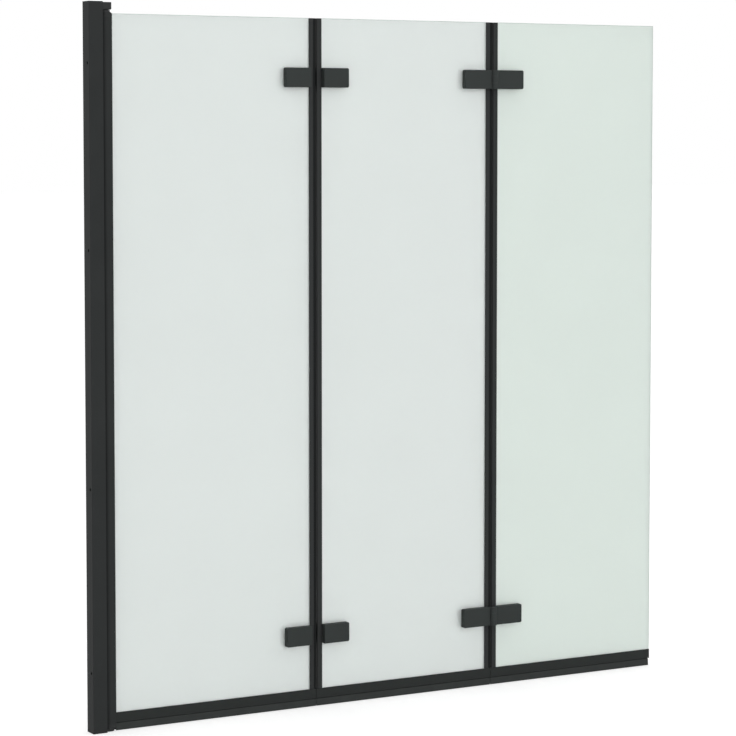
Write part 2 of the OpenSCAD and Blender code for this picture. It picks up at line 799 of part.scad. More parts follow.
// Pad on the rear of the glass; the pad with sleeves lines the holes in the glass
module pad(sleeves) {
    l = hinge_l / 2 - plate_x - 2 * pad_margin;
    difference() {
        union() {
            along_y(glass_t / 2, glass_t / 2 + pad_t) translate([plate_x + pad_margin, -hinge_h / 2 + pad_margin])
                rounded_plate([l, hinge_h - 2 * pad_margin], [for (i = [0:3]) pad_r]);
            if (sleeves) for (x = screw_offsets) translate([x, glass_t / 2 + pad_t / 2, 0]) rotate([90, 0, 0])
                cylinder(d = glass_hole_d - 2 * seat_gap, h = glass_t + pad_t / 2 - seat_gap);
        }
        for (x = screw_offsets) translate([x, 2 * glass_t, 0]) rotate([90, 0, 0])
            cylinder(d = clamp_screw_d + 2 * seat_gap, h = 4 * glass_t);
    }
}

module pads() {
    pad(true);
    mirror([0, 1, 0]) pad(false);
}

// Clamp screws from the rear, with a hexagon socket
module clamp_screws() {
    length = 2 * hinge_y - hinge_t + thread_depth - head_recess - 2 * seat_gap;
    head_h = head_depth - head_recess;
    socket = clamp_screw_d * 0.6;
    for (x = screw_offsets) translate([x, hinge_y - head_recess, 0]) rotate([90, 0, 0]) difference() {
        union() {
            cylinder(d1 = clamp_head_d, d2 = clamp_screw_d, h = head_h);
            cylinder(d = clamp_screw_d, h = length);
        }
        translate([0, 0, -cut]) cylinder(d = socket / cos(30), h = cut + head_h, $fn = 6);
    }
}

// Screws always enter from the rear, whichever side the knuckles are on
module screws_from_rear(x, side) {
    for (z = hinge_z) translate([x, 0, z])
        if (side > 0) clamp_screws();
        else mirror([1, 0, 0]) clamp_screws();
}

module hinge_pins(x, y) {
    for (z = hinge_z) translate([x, y, z - hinge_h / 2]) pin(hinge_pin_d, hinge_h);
}

module hinge_1_leaf_a() { color(black) hinge_half(joint_1, -1, 1) hinge_leaf(true, true); }
module hinge_1_leaf_b() { color(black) hinge_half(joint_1, 1, 1) hinge_leaf(false, true); }
module hinge_1_plate_a() { color(black) hinge_half(joint_1, -1, 1) clamp_plate(false); }
module hinge_1_plate_b() { color(black) hinge_half(joint_1, 1, 1) clamp_plate(false); }
module hinge_1_pads_a() { color(plastic_grey) hinge_half(joint_1, -1, 1) pads(); }
module hinge_1_pads_b() { color(plastic_grey) hinge_half(joint_1, 1, 1) pads(); }
module hinge_1_screws_a() { color(steel) screws_from_rear(joint_1, -1); }
module hinge_1_screws_b() { color(steel) screws_from_rear(joint_1, 1); }
module hinge_1_pins() { color(steel) hinge_pins(joint_1, axis_y); }

module hinge_2_leaf_a() { color(black) hinge_half(joint_2, -1, -1) hinge_leaf(true, false); }
module hinge_2_leaf_b() { color(black) hinge_half(joint_2, 1, -1) hinge_leaf(false, false); }
module hinge_2_plate_a() { color(black) hinge_half(joint_2, -1, -1) clamp_plate(true); }
module hinge_2_plate_b() { color(black) hinge_half(joint_2, 1, -1) clamp_plate(true); }
module hinge_2_pads_a() { color(plastic_grey) hinge_half(joint_2, -1, 1) pads(); }
module hinge_2_pads_b() { color(plastic_grey) hinge_half(joint_2, 1, 1) pads(); }
module hinge_2_screws_a() { color(steel) screws_from_rear(joint_2, -1); }
module hinge_2_screws_b() { color(steel) screws_from_rear(joint_2, 1); }
module hinge_2_pins() { color(steel) hinge_pins(joint_2, -axis_y); }

wall_profile();
wall_profile_cap();
adjusting_profile();
adjusting_screws();
screw_covers();
top_bearing_block();
bottom_bearing_block();
bearing_bushes();
bearing_block_screws();
pivot_seal();
pivot_profile();
pivot_end_caps();
pivot_pins();
glazing_gasket();
glass_panel_1();
glass_panel_2();
glass_panel_3();
joint_seal_1a();
joint_lip_1a();
joint_seal_1b();
joint_seal_2a();
joint_lip_2a();
joint_seal_2b();
bottom_carrier_1();
bottom_carrier_2();
bottom_carrier_3();
bottom_wiper_1();
bottom_wiper_2();
bottom_wiper_3();
hinge_1_leaf_a();
hinge_1_leaf_b();
hinge_1_plate_a();
hinge_1_plate_b();
hinge_1_pads_a();
hinge_1_pads_b();
hinge_1_screws_a();
hinge_1_screws_b();
hinge_1_pins();
hinge_2_leaf_a();
hinge_2_leaf_b();
hinge_2_plate_a();
hinge_2_plate_b();
hinge_2_pads_a();
hinge_2_pads_b();
hinge_2_screws_a();
hinge_2_screws_b();
hinge_2_pins();
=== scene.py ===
"""A folding bath screen with three satin glass panels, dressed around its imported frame.

X runs from the wall along the screen, Y from the front to the rear and Z up. The pieces come in
the order in which the screen is put together, then the studio and the camera. Sizes of pieces are
in millimetres, as on a workshop drawing, and become metres where a mesh is made.
"""

import json
from math import radians

import bmesh
import bpy
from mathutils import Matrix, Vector

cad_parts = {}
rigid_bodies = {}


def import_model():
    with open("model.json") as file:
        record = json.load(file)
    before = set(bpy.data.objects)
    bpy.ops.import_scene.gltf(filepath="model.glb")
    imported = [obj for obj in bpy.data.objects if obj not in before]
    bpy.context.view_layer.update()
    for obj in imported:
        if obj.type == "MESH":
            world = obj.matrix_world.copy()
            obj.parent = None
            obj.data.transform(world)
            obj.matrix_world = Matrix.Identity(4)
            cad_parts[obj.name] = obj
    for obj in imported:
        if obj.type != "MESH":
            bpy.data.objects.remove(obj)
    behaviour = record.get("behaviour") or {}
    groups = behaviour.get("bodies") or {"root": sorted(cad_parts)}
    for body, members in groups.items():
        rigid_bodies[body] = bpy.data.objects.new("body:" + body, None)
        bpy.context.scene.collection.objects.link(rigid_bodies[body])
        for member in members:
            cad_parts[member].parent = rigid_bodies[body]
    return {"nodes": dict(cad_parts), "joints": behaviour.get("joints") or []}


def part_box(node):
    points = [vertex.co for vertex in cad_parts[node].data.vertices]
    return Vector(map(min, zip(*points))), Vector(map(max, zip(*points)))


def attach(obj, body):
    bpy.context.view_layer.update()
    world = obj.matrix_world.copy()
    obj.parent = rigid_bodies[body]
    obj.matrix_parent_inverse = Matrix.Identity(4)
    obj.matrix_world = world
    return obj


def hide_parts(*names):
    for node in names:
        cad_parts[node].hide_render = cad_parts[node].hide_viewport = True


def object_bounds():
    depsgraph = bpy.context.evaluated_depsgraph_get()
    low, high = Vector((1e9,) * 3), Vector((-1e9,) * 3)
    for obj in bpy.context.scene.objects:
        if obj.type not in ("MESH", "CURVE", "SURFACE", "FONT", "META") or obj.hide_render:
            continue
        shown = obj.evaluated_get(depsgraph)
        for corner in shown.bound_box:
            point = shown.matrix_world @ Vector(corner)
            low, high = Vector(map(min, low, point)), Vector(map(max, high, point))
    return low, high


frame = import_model()
cad_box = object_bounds()


# ---- Wall profile ----
# A U-shaped aluminium extrusion, powder coated in fine matt black. Screws through the four holes in
# its web hold it to the tiles, and its open side takes the adjusting profile.

MM = 0.001
NEAR = 0.1      # millimetres within which an edge counts as lying at a place
ALONG = 0.9     # the least share of an axis in a heading that runs along it
ACROSS = 0.1    # the largest share of an axis in a heading that runs across it


class Value:
    """A shader socket. Arithmetic on it adds Math nodes to its mix."""

    def __init__(self, mix, socket):
        self.mix = mix
        self.socket = socket

    def math(self, operation, other):
        return self.mix.node("ShaderNodeMath", {"operation": operation}, {0: self, 1: other})

    def __add__(self, other):
        return self.math("ADD", other)

    def __sub__(self, other):
        return self.math("SUBTRACT", other)

    def __mul__(self, other):
        return self.math("MULTIPLY", other)

    __radd__ = __add__
    __rmul__ = __mul__

    def or_more(self, other):
        """The larger of the two."""
        return self.math("MAXIMUM", other)


class Mix:
    """The nodes of a material or of the surroundings while they are being mixed."""

    def __init__(self, owner):
        self.owner = owner
        owner.use_nodes = True
        self.nodes = owner.node_tree.nodes
        self.links = owner.node_tree.links
        self.nodes.clear()

    def node(self, kind, settings=None, inputs=None, output=0):
        """Adds a node, sets it up, fills or links its sockets and returns one of its outputs."""
        node = self.nodes.new(kind)
        for key, setting in (settings or {}).items():
            setattr(node, key, setting)
        for key, value in (inputs or {}).items():
            if isinstance(value, Value):
                self.links.new(value.socket, node.inputs[key])
            else:
                node.inputs[key].default_value = value
        return Value(self, node.outputs[output]) if node.outputs else None

    def noise(self, lump, detail=1.0, squeeze=(1, 1, 1)):
        """Noise from 0 to 1 with lumps of that size, on the piece's coordinates times squeeze."""
        point = self.node("ShaderNodeTexCoord", output="Object")
        place = self.node("ShaderNodeMapping", None, {"Vector": point, "Scale": squeeze})
        where = {"Vector": place, "Scale": 1 / (lump * MM), "Detail": detail}
        return self.node("ShaderNodeTexNoise", None, where)

    def blend(self, share, first, second):
        """The first colour where the share is 0 and the second where it is 1."""
        return self.node("ShaderNodeMix", {"data_type": "RGBA"}, {0: share, 6: first, 7: second}, 2)

    def relief(self, height, depth, strength):
        """The surface normal over bumps of that depth."""
        bump = {"Height": height, "Distance": depth * MM, "Strength": strength}
        return self.node("ShaderNodeBump", None, bump)

    def surface(self, **inputs):
        """Ends a material's mix in one surface shader and returns the material."""
        named = {key.replace("_", " "): value for key, value in inputs.items()}
        shader = self.node("ShaderNodeBsdfPrincipled", None, named)
        self.node("ShaderNodeOutputMaterial", None, {"Surface": shader})
        return self.owner


def tone(red, green, blue):
    """A colour from its eight-bit values on screen."""
    return [((channel / 255 + 0.055) / 1.055) ** 2.4 for channel in (red, green, blue)] + [1.0]


def shade(colour, share):
    """The colour made darker or lighter."""
    return [share * channel for channel in colour[:3]] + [1.0]


def corners(node):
    """The lowest and the highest corner of a CAD node."""
    return [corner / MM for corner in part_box(node)]


def select_only(*pieces):
    bpy.ops.object.select_all(action="DESELECT")
    for piece in pieces:
        piece.select_set(True)
    bpy.context.view_layer.objects.active = pieces[0]


def settle(name):
    """Names the newest piece and moves its place into its mesh."""
    piece = bpy.context.active_object
    piece.name = name
    piece.data.name = name
    bpy.ops.object.transform_apply(location=True, rotation=True, scale=True)
    return piece


def block(name, low, high):
    """A bar stock blank between two corners."""
    bpy.ops.object.select_all(action="DESELECT")
    low, high = MM * Vector(low), MM * Vector(high)
    bpy.ops.mesh.primitive_cube_add(size=1, location=(low + high) / 2, scale=high - low)
    return settle(name)


def rod(name, start, end, radius, sides=48):
    """A round blank between two points."""
    bpy.ops.object.select_all(action="DESELECT")
    start, end = MM * Vector(start), MM * Vector(end)
    along = end - start
    bpy.ops.mesh.primitive_cone_add(
        vertices=sides,
        radius1=radius * MM,
        radius2=radius * MM,
        depth=along.length,
        location=(start + end) / 2,
        rotation=along.to_track_quat("Z", "Y").to_euler(),
    )
    return settle(name)


def modify(piece, kind, **settings):
    """Adds a modifier to the piece and applies it."""
    select_only(piece)
    modifier = piece.modifiers.new(kind.title(), kind)
    for key, setting in settings.items():
        setattr(modifier, key, setting)
    bpy.ops.object.modifier_apply(modifier=modifier.name)


def combine(piece, operation, tools):
    """Cuts the tools from the piece or welds them to it, one by one. The tools are used up."""
    for tool in tools:
        modify(piece, "BOOLEAN", operation=operation, object=tool, solver="EXACT")
        bpy.data.objects.remove(tool)
    return piece


def cut(piece, *tools):
    return combine(piece, "DIFFERENCE", tools)


def edit_chosen(piece, kind, chosen, operator, **settings):
    """Runs a mesh operator on the edges or faces whose middle and heading the test chooses."""
    select_only(piece)
    bpy.ops.object.mode_set(mode="EDIT")
    bpy.ops.mesh.select_mode(type=kind)
    bpy.ops.mesh.select_all(action="DESELECT")
    mesh = bmesh.from_edit_mesh(piece.data)
    for part in mesh.edges if kind == "EDGE" else mesh.faces:
        points = [vertex.co / MM for vertex in part.verts]
        middle = sum(points, Vector()) / len(points)
        heading = (points[1] - points[0]).normalized() if kind == "EDGE" else part.normal
        part.select_set(chosen(middle, heading))
    bmesh.update_edit_mesh(piece.data)
    operator(**settings)
    bpy.ops.object.mode_set(mode="OBJECT")
    return piece


def round_edges(piece, radius, segments, chosen):
    """Rounds the edges that the test chooses."""
    return edit_chosen(
        piece, "EDGE", chosen, bpy.ops.mesh.bevel,
        offset=radius * MM, segments=segments, affect="EDGES",
    )


def merge_points(piece, distance):
    """Merges points that lie within a distance of each other and drops faces without area."""
    select_only(piece)
    bpy.ops.object.mode_set(mode="EDIT")
    bpy.ops.mesh.select_all(action="SELECT")
    bpy.ops.mesh.remove_doubles(threshold=distance * MM)
    bpy.ops.mesh.dissolve_degenerate(threshold=distance * MM)
    bpy.ops.object.mode_set(mode="OBJECT")


def soften(piece, radius=0.25, segments=2):
    """A small bevel on every sharp edge."""
    merge_points(piece, distance=0.02)
    modify(
        piece, "BEVEL", width=radius * MM, segments=segments,
        limit_method="ANGLE", angle_limit=radians(35),
    )
    return piece


def fit(piece, node, slot, *materials):
    """Smooths the piece beside its flat faces and puts it in the place of a CAD node."""
    merge_points(piece, distance=0.001)
    bpy.ops.object.shade_smooth_by_angle(angle=radians(32))
    modify(piece, "WEIGHTED_NORMAL", keep_sharp=True)
    piece.data.materials.clear()
    for material in materials:
        piece.data.materials.append(material)
    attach(piece, frame["nodes"][node].parent.name.split(":")[1])
    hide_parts(node)


def powder_coating(name, colour):
    """Fine matt powder coating: orange peel with a sandy grain."""
    mix = Mix(bpy.data.materials.new(name))
    peel = mix.noise(1.6)
    grain = mix.noise(0.35)
    cloud = mix.noise(70, 2.0)
    return mix.surface(
        Base_Color=mix.blend(cloud, shade(colour, 0.88), shade(colour, 1.1)),
        Roughness=0.5 + 0.14 * grain - 0.05 * cloud,
        Specular_IOR_Level=0.06,
        Normal=mix.relief(0.7 * peel + 0.3 * grain, 0.05, 0.8),
    )


frame_coating = powder_coating("black_powder_coating", tone(50, 52, 52))

wall_low, wall_high = corners("wall_profile")
wall_metal = 1.6
wall_corner = 0.8
beyond = 5      # how far a cutter runs past the piece
screw_line = -6
screw_spacings = (450, 1150)
screw_hole = 3
middle_height = corners("wall_profile_cap")[1].z / 2
lock_x = 17.5
lock_step = 400
lock_heights = [middle_height + step for step in (-lock_step, 0, lock_step)]
lock_screw = 1.75
loose = 0.02    # the play of a screw in its hole

wall_profile = block("wall_profile_channel", wall_low, wall_high)
cut(
    wall_profile,
    block(
        "channel_room",
        (wall_metal, wall_low.y + wall_metal, wall_low.z - beyond),
        (wall_high.x + beyond, wall_high.y - wall_metal, wall_high.z + beyond),
    ),
)
round_edges(
    wall_profile, wall_corner, 4,
    lambda middle, heading: abs(heading.z) > ALONG
    and middle.x < NEAR and abs(middle.y) > wall_high.y - NEAR,
)
soften(wall_profile)
for spacing in screw_spacings:
    for side in (-1, 1):
        height = middle_height + side * spacing / 2
        start, end = (-beyond, screw_line, height), (beyond, screw_line, height)
        cut(wall_profile, rod("wall_screw_hole", start, end, screw_hole))
for height in lock_heights:
    start, end = (lock_x, wall_high.y - beyond, height), (lock_x, wall_high.y + beyond, height)
    cut(wall_profile, rod("lock_screw_hole", start, end, lock_screw + loose, sides=32))
fit(wall_profile, "wall_profile", "powder_coat", frame_coating)


# ---- Wall profile cap ----
# A moulded plastic cover that closes the top of the wall profile. A tongue pushed into the profile
# behind the adjusting profile holds it.


def moulded_plastic(name, colour):
    """Matt moulded plastic with a fine spark-eroded grain."""
    mix = Mix(bpy.data.materials.new(name))
    grain = mix.noise(0.25, 2.0)
    flow = mix.noise(25, 2.0, (1, 1, 0.4))
    return mix.surface(
        Base_Color=mix.blend(flow, shade(colour, 0.9), shade(colour, 1.08)),
        Roughness=0.5 + 0.12 * grain,
        Specular_IOR_Level=0.12,
        Normal=mix.relief(grain, 0.02, 0.7),
    )


def weld(piece, *tools):
    return combine(piece, "UNION", tools)


black_moulding = moulded_plastic("black_moulded_plastic", tone(49, 51, 51))

cap_low, cap_high = corners("wall_profile_cap")
adjust_low, adjust_high = corners("adjusting_profile")
cap_rim = 0.5
crisp_edge = 0.15
seat = 0.1      # the play of parts that are pushed together
bite = 0.5      # how deep welded blanks overlap

wall_cap = block("wall_profile_cover", (cap_low.x, cap_low.y, wall_high.z), cap_high)
round_edges(wall_cap, wall_corner, 4, lambda middle, heading: abs(heading.z) > ALONG)
round_edges(wall_cap, cap_rim, 3, lambda middle, heading: middle.z > cap_high.z - NEAR)
tongue = block(
    "cover_tongue",
    (wall_metal + seat, cap_low.y + wall_metal + seat, cap_low.z),
    (adjust_low.x - 3 * seat, cap_high.y - wall_metal - seat, wall_high.z + bite),
)
soften(weld(wall_cap, tongue), crisp_edge)
fit(wall_cap, "wall_profile_cap", "black_moulding", black_moulding)


# ---- Adjusting profile ----
# A narrower extruded channel that slides in the wall profile and takes up an uneven wall. It has the
# same powder coating, and its web closes the mouth of the wall profile.

adjust_metal = 1.5
fine_edge = 0.2
lock_hole_sides = 31    # an odd number keeps the hole's points off the lines of the channel
block_screw = 1.5
block_screw_head = 3
block_screw_length = 10
tail_length = 20
block_screw_heights = (
    adjust_low.z - seat + tail_length / 2,
    adjust_high.z + seat - tail_length / 2,
)


def turned(name, start, direction, steps, sides=48):
    """A blank turned on a lathe. Each step is a distance from the start and the radius there."""
    bpy.ops.object.select_all(action="DESELECT")
    bpy.ops.mesh.primitive_circle_add(vertices=sides, radius=steps[0][1] * MM, fill_type="NGON")
    piece = bpy.context.active_object
    bpy.ops.object.mode_set(mode="EDIT")
    bpy.ops.mesh.select_all(action="SELECT")
    for (reached, radius), (distance, next_radius) in zip(steps, steps[1:]):
        move = {"value": (0, 0, (distance - reached) * MM)}
        bpy.ops.mesh.extrude_region_move(TRANSFORM_OT_translate=move)
        bpy.ops.transform.resize(value=(next_radius / radius, next_radius / radius, 1))
    bpy.ops.mesh.select_all(action="SELECT")
    bpy.ops.mesh.normals_make_consistent(inside=False)
    bpy.ops.object.mode_set(mode="OBJECT")
    piece.location = MM * Vector(start)
    piece.rotation_euler = Vector(direction).to_track_quat("Z", "Y").to_euler()
    return settle(name)


def countersink(name, x, head_y, z, shank, head, depth):
    """The cutter for a countersunk screw that goes in from the rear."""
    steps = ((0, head), (beyond, head), (beyond + head - shank, shank), (beyond + depth, shank))
    return turned(name, (x, head_y + beyond, z), (0, -1, 0), steps, sides=40)


adjusting_profile = block("adjusting_channel", adjust_low, adjust_high)
cut(
    adjusting_profile,
    block(
        "adjusting_room",
        (adjust_low.x - beyond, adjust_low.y + adjust_metal, adjust_low.z - beyond),
        (adjust_high.x - adjust_metal, adjust_high.y - adjust_metal, adjust_high.z + beyond),
    ),
)
soften(adjusting_profile, fine_edge)
for height in block_screw_heights:
    hole = countersink(
        "block_screw_hole", lock_x, adjust_high.y + loose, height,
        block_screw + loose, block_screw_head + loose, block_screw_length,
    )
    cut(adjusting_profile, hole)
for height in lock_heights:
    start, end = (lock_x, adjust_high.y - beyond, height), (lock_x, adjust_high.y + beyond, height)
    hole = rod("lock_screw_hole", start, end, lock_screw + loose, lock_hole_sides)
    cut(adjusting_profile, hole)
fit(adjusting_profile, "adjusting_profile", "powder_coat", frame_coating)


# ---- Locking screws ----
# Three slotted pan-head screws of stainless steel that lock the two channels together, driven
# through the rear flange of the wall profile.


def turned_steel(name, colour, squeeze):
    """Stainless steel with fine lines where squeeze is large."""
    mix = Mix(bpy.data.materials.new(name))
    lines = mix.noise(0.6, 3.0, squeeze)
    stain = mix.noise(4, 2.0)
    return mix.surface(
        Base_Color=mix.blend(stain, shade(colour, 0.9), colour),
        Metallic=1.0,
        Roughness=0.22 + 0.18 * lines + 0.06 * stain,
        Normal=mix.relief(lines, 0.01, 0.6),
    )


def duplicate(master, name, shift, turn=(1, 1)):
    """A copy with its own mesh, moved, and turned over in X or in Y where turn is -1."""
    select_only(master)
    bpy.ops.object.duplicate()
    bpy.context.active_object.location = MM * Vector(shift)
    bpy.context.active_object.scale = (turn[0], turn[1], 1)
    piece = settle(name)
    if turn[0] * turn[1] < 0:
        edit_chosen(
            piece, "FACE", lambda middle, heading: True,
            bpy.ops.mesh.normals_make_consistent, inside=False,
        )
    return piece


def joined(name, pieces):
    """Several pieces made one."""
    select_only(*pieces)
    bpy.ops.object.join()
    pieces[0].name = name
    return pieces[0]


def set_of(name, master, places):
    """One piece made of copies of the master at several places. The master is used up."""
    copies = [duplicate(master, name, *place) for place in places]
    bpy.data.objects.remove(master)
    return joined(name, copies)


screw_steel = turned_steel("stainless_screw_steel", tone(158, 159, 161), (1, 6, 1))

lock_head = 3.5
lock_head_height = 2.2
lock_head_round = 1.1
lock_length = 9
lock_tip_round = 0.4
slot_width = 0.8

steps = (
    (0, lock_head), (lock_head_height, lock_head), (lock_head_height, lock_screw),
    (lock_head_height + lock_length, lock_screw),
)
lock_screw_master = turned("lock_screw", (0, lock_head_height, 0), (0, -1, 0), steps)
round_edges(
    lock_screw_master, lock_head_round, 6,
    lambda middle, heading: middle.y > lock_head_height - NEAR,
)
round_edges(
    lock_screw_master, lock_tip_round, 2, lambda middle, heading: middle.y < NEAR - lock_length,
)
slot = block(
    "lock_slot",
    (-beyond, lock_head_height / 2, -slot_width / 2), (beyond, beyond, slot_width / 2),
)
cut(lock_screw_master, slot)
lock_places = [((lock_x, wall_high.y, height),) for height in lock_heights]
lock_screws = set_of("locking_screws", lock_screw_master, lock_places)
fit(lock_screws, "adjusting_screws", "steel", screw_steel)


# ---- Screw covers ----
# Three small moulded caps of the same black plastic that snap over the heads of the locking screws
# and hide them.

cover = 5.5
cover_room = 2.4
cover_wall = 1
past = 1        # how far a cutter runs past the piece in tight places

steps = ((0, cover), (cover_room, cover), (cover_room + cover_wall, cover - cover_wall))
cover_master = turned("screw_cover", (0, 0, 0), (0, 1, 0), steps, sides=64)
room = rod("cover_room", (0, -past, 0), (0, cover_room, 0), cover - cover_wall, sides=64)
soften(cut(cover_master, room), segments=3)
screw_covers = set_of("screw_caps", cover_master, lock_places)
fit(screw_covers, "screw_covers", "black_moulding", black_moulding)


# ---- Bearing blocks ----
# Two moulded plastic blocks that close the ends of the wall profile's mouth and carry the pivot pins.
# Each has a tail inside the adjusting profile, held by a small countersunk screw from the rear.

upper_low, upper_high = corners("top_bearing_block")
lower_low, lower_high = corners("bottom_bearing_block")
pin = 2.5
pin_hold = 10
pivot_x = corners("pivot_pins")[0].x + pin
pivot_half = 9.5
upper_bottom = adjust_high.z + seat
lower_top = adjust_low.z - seat
head_x = wall_high.x + seat
foot_top = 4.5
front_corner = 3
under_corner = 2.4
upper_rim = 0.6
round_rest = 0.05       # the flat that is left between two large roundings
tail_half = adjust_high.y - adjust_metal - seat
tail_x = (adjust_low.x + seat, adjust_high.x - adjust_metal - seat)


def on_pivot(name, start, end, radius, sides=48):
    """A rod on the axis on which the screen turns at the wall, between two heights."""
    return rod(name, (pivot_x, 0, start), (pivot_x, 0, end), radius, sides)


upper_block = block("upper_block", (head_x, upper_low.y, upper_bottom), upper_high)
round_edges(
    upper_block, front_corner, 8,
    lambda middle, heading: abs(heading.z) > ALONG and middle.x > upper_high.x - NEAR,
)
round_edges(
    upper_block, under_corner, 6,
    lambda middle, heading: middle.z < upper_bottom + NEAR and middle.x > head_x + NEAR,
)
round_edges(
    upper_block, upper_rim, 3,
    lambda middle, heading: middle.z > upper_high.z - NEAR and middle.x > head_x + NEAR,
)
upper_root = block(
    "upper_root",
    (adjust_low.x, adjust_low.y, upper_bottom), (head_x + bite, adjust_high.y, upper_high.z),
)
upper_tail = block(
    "upper_tail",
    (tail_x[0], -tail_half, upper_low.z), (tail_x[1], tail_half, upper_bottom + bite),
)
weld(*[soften(blank) for blank in (upper_block, upper_root, upper_tail)])
cut(upper_block, on_pivot("pin_seat", upper_bottom - beyond, upper_bottom + pin_hold, pin + loose))
fit(upper_block, "top_bearing_block", "black_moulding", black_moulding)

lower_block = block(
    "lower_block", (adjust_low.x, adjust_low.y, lower_low.z), (head_x, adjust_high.y, lower_top),
)
foot = block(
    "round_foot",
    (head_x - 2 * bite, -pivot_half, lower_low.z), (pivot_x + pivot_half, pivot_half, foot_top),
)
round_edges(
    foot, pivot_half - round_rest, 32,
    lambda middle, heading: abs(heading.z) > ALONG and middle.x > pivot_x,
)
lower_tail = block(
    "lower_tail", (tail_x[0], -tail_half, lower_top - bite), (tail_x[1], tail_half, lower_high.z),
)
weld(*[soften(blank) for blank in (lower_block, foot, lower_tail)])
cut(lower_block, on_pivot("pin_seat", lower_low.z - beyond, foot_top + beyond, pin + loose))
fit(lower_block, "bottom_bearing_block", "black_moulding", black_moulding)


# ---- Block screws ----
# Two small slotted countersunk screws of stainless steel. They go in from the rear and hold the tails
# of the bearing blocks in the adjusting profile.

block_screw_tip = 0.9
block_slot_depth = 0.9
block_slot_half = 0.4
thin_edge = 0.1

steps = (
    (0, block_screw_head), (block_screw_head - block_screw, block_screw),
    (block_screw_length, block_screw_tip),
)
block_screw_master = turned("block_screw", (0, 0, 0), (0, -1, 0), steps, sides=32)
slot = block(
    "block_slot",
    (-beyond, -block_slot_depth, -block_slot_half), (beyond, beyond, block_slot_half),
)
soften(cut(block_screw_master, slot), thin_edge)
block_screw_places = [((lock_x, adjust_high.y, height),) for height in block_screw_heights]
block_screws = set_of("block_screws", block_screw_master, block_screw_places)
fit(block_screws, "bearing_block_screws", "steel", screw_steel)


# ---- Pivot pins ----
# Two turned stainless pins that stand fast in the bearing blocks, one at the bath rim and one at the
# top. The whole screen turns on them.

pin_steel = turned_steel("stainless_pin_steel", tone(200, 201, 203), (0.2, 0.2, 8))

pivot_low, pivot_high = corners("pivot_end_caps")
bush_length = 20
pin_chamfer = 0.5
pin_edge = 0.05


def steel_pin(name, x, y, low, high):
    """An upright pin with chamfered ends."""
    bar = rod(name, (x, y, low), (x, y, high), pin)
    round_edges(bar, pin_chamfer, 1, lambda middle, heading: abs(heading.z) < ACROSS)
    return soften(bar, pin_edge)


pins = [
    steel_pin("pivot_pin", pivot_x, 0, low, high)
    for low, high in (
        (lower_low.z, pivot_low.z + bush_length),
        (pivot_high.z - bush_length, upper_bottom + pin_hold),
    )
]
fit(joined("pivot_pin_pair", pins), "pivot_pins", "steel", pin_steel)


# ---- Bushes ----
# Two flanged bushes of dark low-friction plastic, pressed into the ends of the turning profile. They
# run on the pivot pins.

bush_plastic = moulded_plastic("low_friction_plastic", tone(62, 63, 64))

bush = 3.55
flange_play = 0.3
pin_play = 0.05

bushes = []
for inner, outer, flange in (
    (pivot_low.z + bush_length, pivot_low.z, foot_top + flange_play),
    (pivot_high.z - bush_length, pivot_high.z, upper_bottom - flange_play),
):
    side = 1 if flange > inner else -1
    tube, whole = abs(outer - inner), abs(flange - inner)
    steps = ((0, bush), (tube, bush), (tube, pivot_half), (whole, pivot_half))
    body = turned("bush", (pivot_x, 0, inner), (0, 0, side), steps, sides=96)
    cut(body, on_pivot("bush_bore", inner - side, flange + side, pin + pin_play, sides=64))
    bushes.append(soften(body, fine_edge))
fit(joined("flanged_bushes", bushes), "bearing_bushes", "bush_plastic", bush_plastic)


# ---- Pivot seal ----
# A soft extruded strip with a half-round bead, stuck on the web of the adjusting profile. It closes
# the gap to the turning profile.


def soft_rubber(name, colour, squeeze):
    """Dull rubber with faint extrusion lines along the axis where squeeze is small."""
    mix = Mix(bpy.data.materials.new(name))
    lines = mix.noise(0.8, 2.0, squeeze)
    dust = mix.noise(30, 3.0)
    return mix.surface(
        Base_Color=mix.blend(dust, shade(colour, 0.85), shade(colour, 1.2)),
        Roughness=0.62 + 0.15 * lines,
        Specular_IOR_Level=0.1,
        Normal=mix.relief(lines, 0.04, 0.6),
    )


# Black rubber, made darker than its own tone: the extra darkness is painted shade for the narrow
# grooves and gaps where the seal, the gasket beads and the lips sit.
upright_rubber_with_groove_shade = soft_rubber("black_upright_rubber", tone(25, 27, 27), (1, 1, 0.02))

strip_low, strip_high = corners("pivot_seal")
strip_base = 0.8
bead_x = strip_low.x + strip_base
bead_bite = 0.2
bead_side = 3

pivot_seal = block("pivot_sealing_strip", strip_low, (bead_x, strip_high.y, strip_high.z))
start, end = (bead_x, 0, strip_low.z), (bead_x, 0, strip_high.z)
bead = rod("sealing_bead", start, end, strip_high.x - bead_x, sides=32)
room = block(
    "bead_cut",
    (strip_low.x - bead_side, -bead_side, strip_low.z - past),
    (bead_x - bead_bite, bead_side, strip_high.z + past),
)
weld(pivot_seal, cut(bead, room))
soften(pivot_seal, crisp_edge)
fit(pivot_seal, "pivot_seal", "soft_rubber", upright_rubber_with_groove_shade)


# ---- Turning profile ----
# An extrusion with a round back that turns beside the wall profile. A pocket on its other side takes
# the glass, and its hollow chambers keep it light.

profile_face = pivot_high.x
cap_height = 8
profile_low = pivot_low.z + cap_height
profile_high = pivot_high.z - cap_height
pocket_x = 43.6
pocket_half = 3.7
skin = 1.4
rib_half = 0.7
face_corner = 0.6
bush_channel = bush + loose
reach = 10      # farther from the axis than any wall of the profile


def turning_outline(name, low, high):
    """A bar with the round back and the square glass side, between two heights."""
    bar = block(
        name, (pivot_x - pivot_half, -pivot_half, low), (profile_face, pivot_half, high),
    )
    return round_edges(
        bar, pivot_half - round_rest, 32,
        lambda middle, heading: abs(heading.z) > ALONG and middle.x < pivot_x,
    )


